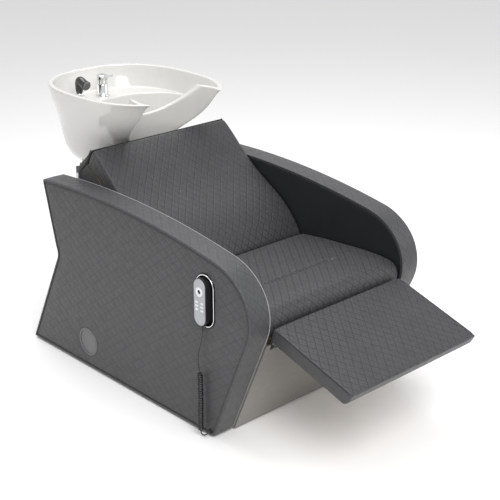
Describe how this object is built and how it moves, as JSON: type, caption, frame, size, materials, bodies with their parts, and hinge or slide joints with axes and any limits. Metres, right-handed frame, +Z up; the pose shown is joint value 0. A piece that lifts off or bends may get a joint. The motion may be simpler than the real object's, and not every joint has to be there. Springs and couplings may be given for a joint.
{
  "type": "shampoo backwash unit",
  "caption": "Salon backwash unit: upholstered seat between two curved arm panels, fold-down powered footrest, tilting ceramic basin with mixer and hand shower, wired handset.",
  "frame": {"origin": "on the floor, under the middle of the unit's box", "axes": "+Z up, +Y towards the basin, -Y towards the footrest, +X towards the sitter's left"},
  "size_m": [0.7869, 1.6373, 0.923],
  "materials": {
    "board": "raw plywood",
    "side_leatherette": "embossed, satin",
    "inner_leatherette": "smooth, satin",
    "quilted_leatherette": "embossed diamonds, satin",
    "black_plastic": "moulded",
    "painted_steel": "powder coated",
    "grey_panel": "satin",
    "bright_steel": "machined",
    "chrome": "polished",
    "ceramic": "glazed, gloss",
    "hose_rubber": "satin",
    "handset_grey": "satin",
    "key_white": "satin"
  },
  "bodies": {
    "unit": {"access_port_ring": "grey_panel", "backrest_cushion": "quilted_leatherette", "backrest_rear_pad": "quilted_leatherette", "backrest_ribs": "board", "backrest_side_covers": "quilted_leatherette", "basin_column": "painted_steel", "basin_pivot_pins": "bright_steel", "control_box": "black_plastic", "cord_gland": "black_plastic", "drain_hose": "hose_rubber", "floor_frame": "painted_steel", "floor_glides": "black_plastic", "front_plinth": "grey_panel", "left_arm_core": "board", "left_arm_edge_band": "quilted_leatherette", "left_arm_inner_cover": "inner_leatherette", "left_arm_outer_cover": "side_leatherette", "lift_actuator_motor": "black_plastic", "lift_actuator_tube": "bright_steel", "rear_service_panel": "grey_panel", "remote_curly_cord": "hose_rubber", "remote_holder": "black_plastic", "remote_lead": "hose_rubber", "right_arm_core": "board", "right_arm_edge_band": "quilted_leatherette", "right_arm_inner_cover": "inner_leatherette", "right_arm_outer_cover": "side_leatherette", "seat_board": "board", "seat_cushion": "quilted_leatherette", "seat_subframe": "painted_steel", "shower_hose": "hose_rubber", "water_supply_hoses": "hose_rubber"},
    "footrest": {"footrest_board": "board", "footrest_cushion": "quilted_leatherette", "footrest_hinge_shaft": "bright_steel", "footrest_lift_lever": "painted_steel"},
    "lift_rod": {"lift_actuator_rod": "bright_steel"},
    "basin": {"basin": "ceramic", "basin_cradle": "painted_steel", "drain_fitting": "bright_steel", "drain_trap": "black_plastic", "mixer_body": "chrome", "shower_collar": "chrome", "deck_knob": "chrome"},
    "strainer": {"hair_strainer": "bright_steel"},
    "mixer_swivel": {"mixer_hub": "chrome"},
    "mixer_handle": {"mixer_lever": "chrome"},
    "hand_shower": {"shower_handle": "black_plastic", "shower_spray_face": "black_plastic"},
    "tilt_lock": {"tilt_lock_lever": "chrome"},
    "handset": {"remote_body": "black_plastic", "remote_face": "handset_grey"},
    "ring_key": {"remote_ring_key": "key_white"},
    "button_1": {"remote_button_1": "key_white"},
    "button_2": {"remote_button_2": "key_white"},
    "button_3": {"remote_button_3": "key_white"},
    "button_4": {"remote_button_4": "key_white"},
    "button_5": {"remote_button_5": "key_white"},
    "button_6": {"remote_button_6": "key_white"},
    "port_cap": {"access_cap": "grey_panel"}
  },
  "joints": [
    {"name": "footrest_fold", "type": "hinge", "parent": "unit", "child": "footrest", "pos_m": [0, -0.478, 0.348], "axis": [1, 0, 0], "range_deg": [0, 68]},
    {"name": "lift_rod_slide", "type": "slide", "parent": "unit", "child": "lift_rod", "axis": [0, 1, 0], "range_m": [0, 0.0811]},
    {"name": "basin_tilt", "type": "hinge", "parent": "unit", "child": "basin", "pos_m": [0, 0.62, 0.592], "axis": [-1, 0, 0], "range_deg": [0, 12], "deforming": ["drain_hose", "water_supply_hoses", "shower_hose"]},
    {"name": "strainer_lift", "type": "slide", "parent": "basin", "child": "strainer", "axis": [0, 0, 1], "range_m": [0, 0.06]},
    {"name": "mixer_turn", "type": "hinge", "parent": "basin", "child": "mixer_swivel", "pos_m": [0.006, 0.7, 0.884], "axis": [0, 0, 1], "range_deg": [-45, 45]},
    {"name": "mixer_lift", "type": "hinge", "parent": "mixer_swivel", "child": "mixer_handle", "pos_m": [0.006, 0.724, 0.9036], "axis": [-1, 0, 0], "range_deg": [0, 22]},
    {"name": "shower_pull", "type": "slide", "parent": "basin", "child": "hand_shower", "axis": [0, 0, 1], "range_m": [0, 0.2]},
    {"name": "tilt_lock_turn", "type": "hinge", "parent": "unit", "child": "tilt_lock", "pos_m": [0.16, 0.62, 0.592], "axis": [-1, 0, 0], "range_deg": [0, 50]},
    {"name": "handset_pull", "type": "slide", "parent": "unit", "child": "handset", "axis": [-1, 0, 0], "range_m": [0, 0.05]},
    {"name": "ring_key_press", "type": "slide", "parent": "handset", "child": "ring_key", "axis": [1, 0, 0], "range_m": [0, 0.0008], "stiffness_N_per_m": 500, "springref_m": -0.0004},
    {"name": "button_1_press", "type": "slide", "parent": "handset", "child": "button_1", "axis": [1, 0, 0], "range_m": [0, 0.0008], "stiffness_N_per_m": 400, "springref_m": -0.0004},
    {"name": "button_2_press", "type": "slide", "parent": "handset", "child": "button_2", "axis": [1, 0, 0], "range_m": [0, 0.0008], "stiffness_N_per_m": 400, "springref_m": -0.0004},
    {"name": "button_3_press", "type": "slide", "parent": "handset", "child": "button_3", "axis": [1, 0, 0], "range_m": [0, 0.0008], "stiffness_N_per_m": 400, "springref_m": -0.0004},
    {"name": "button_4_press", "type": "slide", "parent": "handset", "child": "button_4", "axis": [1, 0, 0], "range_m": [0, 0.0008], "stiffness_N_per_m": 400, "springref_m": -0.0004},
    {"name": "button_5_press", "type": "slide", "parent": "handset", "child": "button_5", "axis": [1, 0, 0], "range_m": [0, 0.0008], "stiffness_N_per_m": 400, "springref_m": -0.0004},
    {"name": "button_6_press", "type": "slide", "parent": "handset", "child": "button_6", "axis": [1, 0, 0], "range_m": [0, 0.0008], "stiffness_N_per_m": 400, "springref_m": -0.0004},
    {"name": "port_cap_pull", "type": "slide", "parent": "unit", "child": "port_cap", "axis": [-1, 0, 0], "range_m": [0, 0.04]}
  ],
  "couplings": [
    {"joint": "lift_rod_slide", "follows": "footrest_fold", "m_per_rad": 0.0682}
  ]
}
